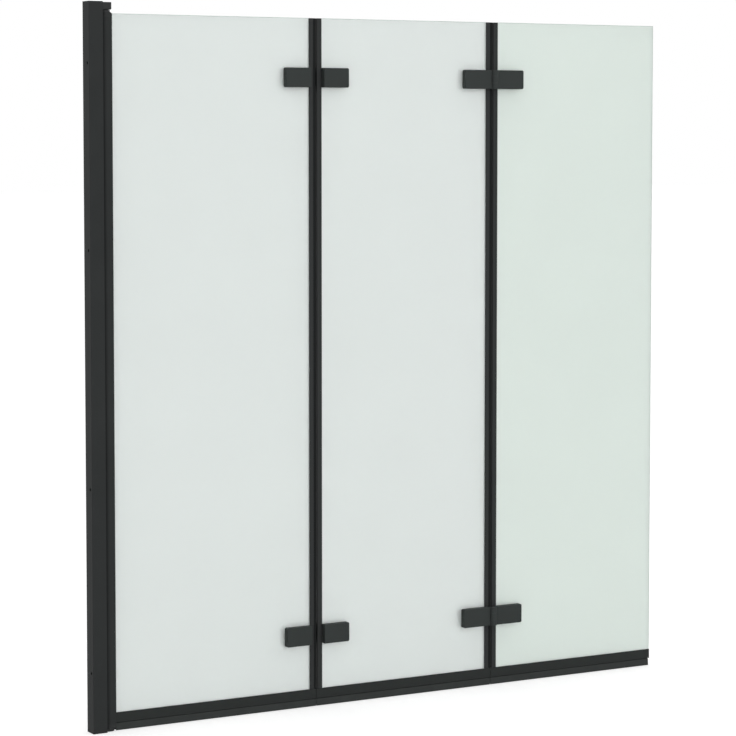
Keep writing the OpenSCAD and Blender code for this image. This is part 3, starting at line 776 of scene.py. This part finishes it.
def back_chamber(low, high, play):
    """The half-round room behind the bush channel, smaller by play on every side."""
    room = on_pivot("back_chamber", low, high, pivot_half - skin - play, sides=96)
    low, high = low - past, high + past
    return cut(
        room,
        on_pivot("bush_channel", low, high, bush + skin + play, sides=64),
        block("chamber_side", (pivot_x - play, -reach, low), (pivot_x + reach, reach, high)),
        block(
            "chamber_rib",
            (pivot_x - reach, -rib_half - play, low), (pivot_x, rib_half + play, high),
        ),
    )


turning_profile = turning_outline("turning_profile", profile_low, profile_high)
round_edges(
    turning_profile, face_corner, 3,
    lambda middle, heading: abs(heading.z) > ALONG and middle.x > profile_face - NEAR,
)
soften(turning_profile, fine_edge)
low, high = profile_low - past, profile_high + past
side_chambers = [
    block("side_chamber", (pivot_x + skin, front, low), (profile_face - skin, rear, high))
    for front, rear in (
        (skin - pivot_half, -pocket_half - skin),
        (pocket_half + skin, pivot_half - skin),
    )
]
cut(
    turning_profile,
    block("glass_pocket", (pocket_x, -pocket_half, low), (profile_face + past, pocket_half, high)),
    back_chamber(low, high, 0),
    on_pivot("bush_channel", low, high, bush_channel, sides=64),
    *side_chambers,
)
fit(turning_profile, "pivot_profile", "powder_coat", frame_coating)


# ---- Turning profile ends ----
# Moulded plastic caps that continue the profile's outline. Lugs pushed into the back chamber hold
# them, and the bushes pass through them. The upper one has a slot for the glass.

glass_low, glass_high = corners("glass_panel_1")
glass_half = 2.5
cap_corner = 4.5
lug = 10

end_caps = []
for tip, joint, lug_tip, slot_end in (
    (pivot_high.z, profile_high, profile_high - lug, glass_high.z + 2 * seat),
    (pivot_low.z, profile_low, profile_low + lug, None),
):
    low, high = sorted((tip, joint))
    cap = turning_outline("end_cap", low, high)
    round_edges(
        cap, cap_corner, 10,
        lambda middle, heading: abs(middle.z - tip) < NEAR
        and middle.x > profile_face - NEAR and abs(heading.y) > ALONG,
    )
    overlap = bite if lug_tip < joint else -bite
    weld(soften(cap, fine_edge), back_chamber(*sorted((lug_tip, joint + overlap)), seat))
    cut(cap, on_pivot("bush_channel", low - past, high + past, bush_channel, sides=64))
    if slot_end:
        slot = block(
            "glass_slot",
            (glass_low.x - seat, -glass_half - seat, joint - past),
            (profile_face + past, glass_half + seat, slot_end),
        )
        cut(cap, slot)
    end_caps.append(cap)
fit(joined("turning_profile_ends", end_caps), "pivot_end_caps", "black_moulding", black_moulding)


# ---- Glazing gasket ----
# A soft extruded channel that wedges the glass into the pocket, with two small beads that show
# beside the glass.

gasket_low, gasket_high = corners("glazing_gasket")
gasket_bead = 0.7
bead_round = 0.34

gasket = block(
    "glazing_channel",
    (gasket_low.x, -pocket_half, gasket_low.z),
    (profile_face + gasket_bead / 2, pocket_half, gasket_high.z),
)
beads = block("glazing_beads", (profile_face, gasket_low.y, gasket_low.z), gasket_high)
round_edges(
    beads, bead_round, 4,
    lambda middle, heading: abs(heading.z) > ALONG and middle.x > gasket_high.x - NEAR,
)
weld(soften(gasket, thin_edge), beads)
room = block(
    "glass_room",
    (glass_low.x, -glass_half, gasket_low.z - past),
    (gasket_high.x + past, glass_half, gasket_high.z + past),
)
cut(gasket, room)
fit(gasket, "glazing_gasket", "soft_rubber", upright_rubber_with_groove_shade)


# ---- Glass panels ----
# Three panes of 5 mm tempered safety glass, satin etched, with ground edges. Two holes for each hinge
# half are drilled before tempering.


def satin_glass(name, colour, roughness):
    """Etched glass, half milky: a very fine grain and faint clouds from the acid bath."""
    mix = Mix(bpy.data.materials.new(name))
    etch = mix.noise(0.3, 2.0)
    cloud = mix.noise(160, 2.0)
    return mix.surface(
        Base_Color=mix.blend(cloud, shade(colour, 0.985), shade(colour, 1.01)),
        Roughness=roughness + 0.05 * etch + 0.03 * cloud,
        IOR=1.5,
        Transmission_Weight=0.5,
        Normal=mix.relief(etch, 0.01, 0.3),
    )


face_glasses = (
    satin_glass("satin_glass", tone(242, 247, 245), 0.55),
    satin_glass("satin_glass_middle", tone(242, 247, 245), 0.55),
    satin_glass("satin_glass_end", tone(240, 248, 243), 0.55),
)
edge_glass = satin_glass("ground_glass_edge", tone(138, 160, 150), 0.5)

arris = 0.5
ground_edge = 0.08
flatness = 0.99     # the least share of Y in the normal of a pane's face
glass_hole = 5
hinge_heights = (144, 1242.5)
joint_x = [joint["pos_m"][0] / MM for joint in frame["joints"] if joint["name"] != "wall_pivot"]
screw_steps = (28, 56)
screw_x = (
    [joint_x[0] - step for step in screw_steps],
    [joint_x[0] + step for step in screw_steps] + [joint_x[1] - step for step in screw_steps],
    [joint_x[1] + step for step in screw_steps],
)

for number, (face_glass, hole_x) in enumerate(zip(face_glasses, screw_x), start=1):
    low, high = corners(f"glass_panel_{number}")
    pane = block(f"satin_pane_{number}", low, high)
    round_edges(pane, arris, 1, lambda middle, heading: abs(heading.y) < ACROSS)
    for x in hole_x:
        for height in hinge_heights:
            cut(pane, rod("glass_hole", (x, -beyond, height), (x, beyond, height), glass_hole))
    soften(pane, ground_edge, 1)
    fit(pane, f"glass_panel_{number}", "glass", face_glass, edge_glass)
    for face in pane.data.polygons:
        face.material_index = 0 if abs(face.normal.y) > flatness else 1


# ---- Upright seals ----
# Extruded black plastic clips pushed on the upright glass edges, two at each folding joint. They
# cover the glass edges and leave a narrow gap between the panels.


def extruded_plastic(name, colour, squeeze):
    """Satin extruded plastic with die lines along the axis where squeeze is small."""
    mix = Mix(bpy.data.materials.new(name))
    lines = mix.noise(0.7, 3.0, squeeze)
    waves = mix.noise(40, 2.0)
    return mix.surface(
        Base_Color=mix.blend(lines, shade(colour, 0.9), shade(colour, 1.1)),
        Roughness=0.36 + 0.12 * lines + 0.06 * waves,
        Specular_IOR_Level=0.12,
        Normal=mix.relief(lines, 0.03, 0.6),
    )


seal_plastic = extruded_plastic("black_upright_seal", tone(48, 50, 50), (1, 1, 0.01))

clip_corner = 0.8
left_glass = 6.3        # from the joint to the glass edge on its left
right_glass = 4.8       # and on its right
slot_reach = 20

for number, x in enumerate(joint_x, start=1):
    for letter, side, glass_step in (("a", -1, left_glass), ("b", 1, right_glass)):
        node = f"joint_seal_{number}{letter}"
        low, high = corners(node)
        clip = block(f"{node}_clip", low, high)
        round_edges(clip, clip_corner, 4, lambda middle, heading: abs(heading.z) > ALONG)
        slot_x = sorted((x + side * glass_step, x + side * slot_reach))
        slot = block(
            "clip_slot",
            (slot_x[0], -glass_half - loose, low.z - past),
            (slot_x[1], glass_half + loose, high.z + past),
        )
        soften(cut(clip, slot), crisp_edge)
        fit(clip, node, "black_seal", seal_plastic)


# ---- Soft lips ----
# A hollow soft lip on the left clip of each joint. It fills the gap to the right clip when the
# screen is open, and it is built in its relaxed shape.

lip_half = 2.8
lip_skin = 0.9
lip_tip = 2.5

for number, x in enumerate(joint_x, start=1):
    node = f"joint_lip_{number}a"
    low, high = corners(node)
    lip = block(f"{node}_bulb", low, (x + lip_tip, high.y, high.z))
    round_edges(
        lip, lip_half - round_rest, 8,
        lambda middle, heading: abs(heading.z) > ALONG and middle.x > x + lip_tip - NEAR,
    )
    room = block(
        "lip_room",
        (low.x + lip_skin, low.y + lip_skin, low.z - past),
        (x + lip_tip - lip_skin, high.y - lip_skin, high.z + past),
    )
    round_edges(
        room, lip_half - lip_skin - round_rest, 6,
        lambda middle, heading: abs(heading.z) > ALONG and middle.x > x,
    )
    soften(cut(lip, room), thin_edge)
    fit(lip, node, "soft_rubber", upright_rubber_with_groove_shade)


# ---- Bottom carriers ----
# Rails of extruded black plastic, one clipped on the foot of each pane. A slot in the underside of
# each holds its wiper.

carrier_plastic = extruded_plastic("black_rail_carrier", tone(42, 45, 44), (0.01, 1, 1))

slot_lip = 1.2
slot_half = 2.5
mouth_half = 1.5
slot_height = 2
carrier_shoulder = 1
carrier_rim = 0.5

for number in (1, 2, 3):
    low, high = corners(f"bottom_carrier_{number}")
    left, right = low.x - past, high.x + past
    carrier = block(f"rail_carrier_{number}", low, high)
    round_edges(
        carrier, carrier_shoulder, 4,
        lambda middle, heading: abs(heading.x) > ALONG and middle.z > high.z - NEAR,
    )
    round_edges(
        carrier, carrier_rim, 3,
        lambda middle, heading: abs(heading.x) > ALONG and middle.z < low.z + NEAR,
    )
    cut(
        carrier,
        block(
            "glass_slot",
            (left, -glass_half - loose, glass_low.z), (right, glass_half + loose, high.z + past),
        ),
        block(
            "wiper_mouth",
            (left, -mouth_half, low.z - past), (right, mouth_half, low.z + slot_lip + seat),
        ),
        block(
            "wiper_slot",
            (left, -slot_half, low.z + slot_lip),
            (right, slot_half, low.z + slot_lip + slot_height),
        ),
    )
    soften(carrier, crisp_edge)
    fit(carrier, f"bottom_carrier_{number}", "black_seal", carrier_plastic)


# ---- Bottom wipers ----
# Soft extruded strips with two flared lips that run along the bath rim. The head of each slides into
# the slot of its carrier.

wiper_rubber = soft_rubber("black_rail_wiper", tone(55, 58, 57), (0.02, 1, 1))

slot_play = 0.2
groove = 1
shoulder_half = 4
wiper_skin = 1.2

for number in (1, 2, 3):
    carrier_foot = corners(f"bottom_carrier_{number}")[0].z
    low, high = corners(f"bottom_wiper_{number}")
    shoulder = carrier_foot - groove
    wiper = block(
        f"rail_wiper_{number}", (low.x, -shoulder_half, low.z), (high.x, shoulder_half, shoulder),
    )
    room = block(
        "wiper_room",
        (low.x - past, wiper_skin - shoulder_half, low.z - past),
        (high.x + past, shoulder_half - wiper_skin, shoulder - 2 * wiper_skin),
    )
    flare = high.y / shoulder_half
    room_flare = (high.y - wiper_skin) / (shoulder_half - wiper_skin)
    for piece, factor in ((wiper, flare), (room, room_flare)):
        edit_chosen(
            piece, "FACE", lambda middle, heading: heading.z < -ALONG,
            bpy.ops.transform.resize, value=(1, factor, 1),
        )
    cut(wiper, room)
    weld(
        wiper,
        block(
            "wiper_neck",
            (low.x, slot_play - mouth_half, shoulder - bite),
            (high.x, mouth_half - slot_play, carrier_foot + slot_lip + bite),
        ),
        block(
            "wiper_head",
            (low.x, slot_play - slot_half, carrier_foot + slot_lip),
            (high.x, slot_half - slot_play, high.z),
        ),
    )
    soften(wiper, crisp_edge)
    fit(wiper, f"bottom_wiper_{number}", "soft_rubber", wiper_rubber)


# ---- Hinge leaves ----
# The knuckled halves of the glass hinges, milled from solid metal and powder coated. They lie on the
# side of the glass to which the joint folds, clear of the upright seals.

hinge_coating = powder_coating("black_hinge_coating", tone(58, 62, 61))

hinge_end = 70
hinge_half = 19
hinge_corner = 3
hinge_rim = 1.2
pad = 0.8
plate = 12
plate_inner = glass_half + pad
plate_outer = plate_inner + plate
plate_start = 14.3
leaf_start = 0.3        # clear of the pin's axis, where the facets of its hole meet
axis_step = 0.5
axis_y = plate_outer + axis_step
barrel = 7
barrel_clear = 7.4
knuckle_half = 7
knuckle_play = 0.15
web_step = 0.35         # how far the webs stand back from the ends of the knuckles
clip_half = 4.5         # half the thickness of the upright seals
seal_play = 0.4
clamp_screw = 2.5
clamp_head = 4.5
recess = 0.6
head_y = plate_outer - recess
thread_depth = 8


def clamp_block(name, start_x, *cutters):
    """The softly rounded metal block of one hinge half, on the rear of the glass."""
    body = block(name, (start_x, plate_inner, -hinge_half), (hinge_end, plate_outer, hinge_half))
    cut(body, *cutters)
    round_edges(
        body, hinge_corner, 8,
        lambda middle, heading: abs(heading.y) > ALONG and middle.x > hinge_end - NEAR,
    )
    round_edges(
        body, hinge_rim, 5,
        lambda middle, heading: middle.y > plate_outer - NEAR
        and abs(heading.y) < ACROSS and middle.x > plate_start,
    )
    return soften(body)


def drill(body, heads):
    """Holes for the clamp screws: countersunk for the heads, or threaded blind from the glass."""
    for x in screw_steps:
        if heads:
            hole = countersink(
                "clamp_hole", x, head_y, 0,
                clamp_screw + loose, clamp_head + loose, plate_outer,
            )
        else:
            start, end = (x, 0, 0), (x, plate_inner + thread_depth, 0)
            hole = rod("threaded_hole", start, end, clamp_screw + loose)
        cut(body, hole)
    return body


def knuckled_leaf(outer, heads):
    """A leaf with two outer knuckles or one middle one, milled from a longer block."""
    top = hinge_half + past
    inner_end = knuckle_half + knuckle_play
    web_end = knuckle_half + web_step if outer else knuckle_half - web_step
    windows = ((-web_end, web_end),) if outer else ((-top, -web_end), (web_end, top))
    body = clamp_block(
        "leaf", leaf_start,
        block("seal_room", (-past, -past, -top), (plate_start, clip_half + seal_play, top)),
        block("web_room", (-past, -past, -top), (barrel_clear, axis_y - barrel + web_step, top)),
        *[block("window", (-past, -past, low), (barrel_clear, top, high)) for low, high in windows],
    )
    outer_ends = ((web_step - hinge_half, -inner_end), (inner_end, hinge_half - web_step))
    for low, high in outer_ends if outer else ((-knuckle_half, knuckle_half),):
        knuckle = rod("knuckle", (0, axis_y, low), (0, axis_y, high), barrel, sides=96)
        weld(body, soften(knuckle, crisp_edge))
    start, end = (0, axis_y, -top), (0, axis_y, top)
    cut(body, rod("pin_hole", start, end, pin + (loose if outer else pin_play)))
    return drill(body, heads)


def hang(master, node, x, turn, slot, material):
    """Copies of a hinge part at both heights, turned to its side of the joint and of the glass."""
    places = [((x, 0, height), turn) for height in hinge_heights]
    fit(set_of(f"{node}_pair", master, places), node, slot, material)


for node, x, turn, outer, heads in (
    ("hinge_1_leaf_a", joint_x[0], (-1, 1), True, True),
    ("hinge_1_leaf_b", joint_x[0], (1, 1), False, True),
    ("hinge_2_leaf_a", joint_x[1], (-1, -1), True, False),
    ("hinge_2_leaf_b", joint_x[1], (1, -1), False, False),
):
    hang(knuckled_leaf(outer, heads), node, x, turn, "powder_coat", hinge_coating)


# ---- Hinge plates ----
# Plain clamp plates of the same coated metal, on the other side of the glass. The rear half of each
# hinge takes the heads of the screws, and the front half has their threads.

for node, x, turn, heads in (
    ("hinge_1_plate_a", joint_x[0], (-1, -1), False),
    ("hinge_1_plate_b", joint_x[0], (1, -1), False),
    ("hinge_2_plate_a", joint_x[1], (-1, 1), True),
    ("hinge_2_plate_b", joint_x[1], (1, 1), True),
):
    hang(drill(clamp_block("plate", plate_start), heads), node, x, turn, "powder_coat", hinge_coating)


# ---- Hinge pads ----
# Moulded plastic sheets between the metal and the glass, with sleeves that line the holes in the
# glass.

pad_plastic = moulded_plastic("grey_pad_plastic", tone(70, 71, 72))

hinge_sides = (
    (1, "a", joint_x[0], (-1, 1)),
    (1, "b", joint_x[0], (1, 1)),
    (2, "a", joint_x[1], (-1, 1)),
    (2, "b", joint_x[1], (1, 1)),
)
pad_margin = 2
pad_corner = 1.5
sleeve = 4.9

for number, letter, x, turn in hinge_sides:
    pads = []
    for front, rear in ((glass_half, plate_inner), (-plate_inner, -glass_half)):
        sheet = block(
            "pad",
            (plate_start + pad_margin, front, pad_margin - hinge_half),
            (hinge_end - pad_margin, rear, hinge_half - pad_margin),
        )
        round_edges(sheet, pad_corner, 4, lambda middle, heading: abs(heading.y) > ALONG)
        pads.append(sheet)
    for step in screw_steps:
        start, end = (step, glass_half + pad / 2, 0), (step, seat - glass_half, 0)
        weld(pads[0], rod("sleeve", start, end, sleeve))
    for step in screw_steps:
        for sheet in pads:
            start, end = (step, -beyond, 0), (step, beyond, 0)
            cut(sheet, rod("sleeve_bore", start, end, clamp_screw + seat))
    both = joined("pads", [soften(sheet, thin_edge) for sheet in pads])
    hang(both, f"hinge_{number}_pads_{letter}", x, turn, "bush_plastic", pad_plastic)


# ---- Clamp screws ----
# Countersunk stainless screws with hexagon sockets, two in each hinge half. They go in from the rear
# and draw leaf and plate together.

head_cone = clamp_head - clamp_screw
socket = 1.732          # the radius over the corners of a 3 mm hexagon
socket_depth = 1.8
screw_end = thread_depth - 2 * seat + plate_inner

for number, letter, x, turn in hinge_sides:
    screws = []
    for step in screw_steps:
        steps = ((0, clamp_head), (head_cone, clamp_screw), (head_y + screw_end, clamp_screw))
        clamp = turned("clamp_screw", (step, head_y, 0), (0, -1, 0), steps)
        start, end = (step, head_y + past, 0), (step, head_y - socket_depth, 0)
        cut(clamp, rod("hexagon_socket", start, end, socket, sides=6))
        screws.append(soften(clamp, thin_edge))
    both = joined("clamp_screws", screws)
    hang(both, f"hinge_{number}_screws_{letter}", x, turn, "steel", screw_steel)


# ---- Hinge pins ----
# Pins of dull steel through the knuckles, pressed into the outer ones. Hinge 1 has them behind the
# glass and hinge 2 in front of it.

hinge_pin_steel = turned_steel("dull_hinge_pin_steel", tone(92, 93, 94), (0.2, 0.2, 8))

for number, x, y in ((1, joint_x[0], axis_y), (2, joint_x[1], -axis_y)):
    hinge_pin = steel_pin("hinge_pin", 0, y, -hinge_half, hinge_half)
    hang(hinge_pin, f"hinge_{number}_pins", x, (1, 1), "steel", hinge_pin_steel)


# ---- Studio ----
# A pale floor at the height of the bath rim and white surroundings, with a large soft lamp in front
# and one overhead. Sizes from here on are in metres.

floor_tone = tone(185, 185, 185)
floor_glow = (0.6, 0.6, 0.6, 1)
floor_size = 80
floor_place = (0.65, 0, -0.0005)
stray_light = 0.88


def seen(mix):
    """1 for rays from the camera, from gloss and through glass, and 0 for stray light."""
    kinds = ("Is Camera Ray", "Is Glossy Ray", "Is Transmission Ray")
    camera, *others = [mix.node("ShaderNodeLightPath", output=kind) for kind in kinds]
    for other in others:
        camera = camera.or_more(other)
    return camera


bpy.ops.object.select_all(action="DESELECT")
bpy.ops.mesh.primitive_plane_add(size=floor_size, location=floor_place)
floor = settle("floor")
mix = Mix(bpy.data.materials.new("pale_floor"))
speckle = mix.noise(12, 2.0)
floor_paint = mix.surface(
    Base_Color=mix.blend(speckle, shade(floor_tone, 0.99), floor_tone),
    Roughness=0.9,
    Specular_IOR_Level=0.1,
    Emission_Color=mix.blend(seen(mix), (0, 0, 0, 1), floor_glow),
    Emission_Strength=1.0,
)
floor.data.materials.append(floor_paint)

world = bpy.data.worlds.new("white_studio")
bpy.context.scene.world = world
mix = Mix(world)
backdrop = {"Color": (1, 1, 1, 1), "Strength": stray_light + (1 - stray_light) * seen(mix)}
mix.node("ShaderNodeOutputWorld", None, {"Surface": mix.node("ShaderNodeBackground", None, backdrop)})


def soft_lamp(name, place, size, power):
    """A square lamp turned to the middle of the screen."""
    bpy.ops.object.light_add(type="AREA", location=place)
    lamp = bpy.context.active_object
    lamp.name = name
    lamp.data.shape = "SQUARE"
    lamp.data.size = size
    lamp.data.energy = power
    towards = (cad_box[0] + cad_box[1]) / 2 - Vector(place)
    lamp.rotation_euler = towards.to_track_quat("-Z", "Y").to_euler()


soft_lamp("front_lamp", place=(0.65, -6.0, 1.1), size=4.0, power=90)
soft_lamp("overhead_lamp", place=(0.9, 0.2, 3.6), size=3.0, power=20)


# ---- Camera ----
# The photograph's view: a long lens at the left of the screen and a little below its upper edge,
# turned down slightly and shifted just enough to frame the screen as the photograph does.

picture_side = 736      # pixels
focal_length = 2680     # pixels
lens_shift = -0.08      # of the width of the picture
sensor_width = 36       # millimetres
camera_place = (-2.0633, -4.6005, 1.1406)
degrees_down = 3.826
degrees_right = 30.141

camera = bpy.data.objects.new("camera", bpy.data.cameras.new("camera"))
bpy.context.scene.collection.objects.link(camera)
bpy.context.scene.camera = camera
camera.data.sensor_width = sensor_width
camera.data.lens = focal_length / picture_side * sensor_width
camera.data.shift_y = lens_shift
camera.location = camera_place
camera.rotation_euler = (radians(90 - degrees_down), 0, radians(-degrees_right))

bpy.context.scene.view_settings.view_transform = "Standard"
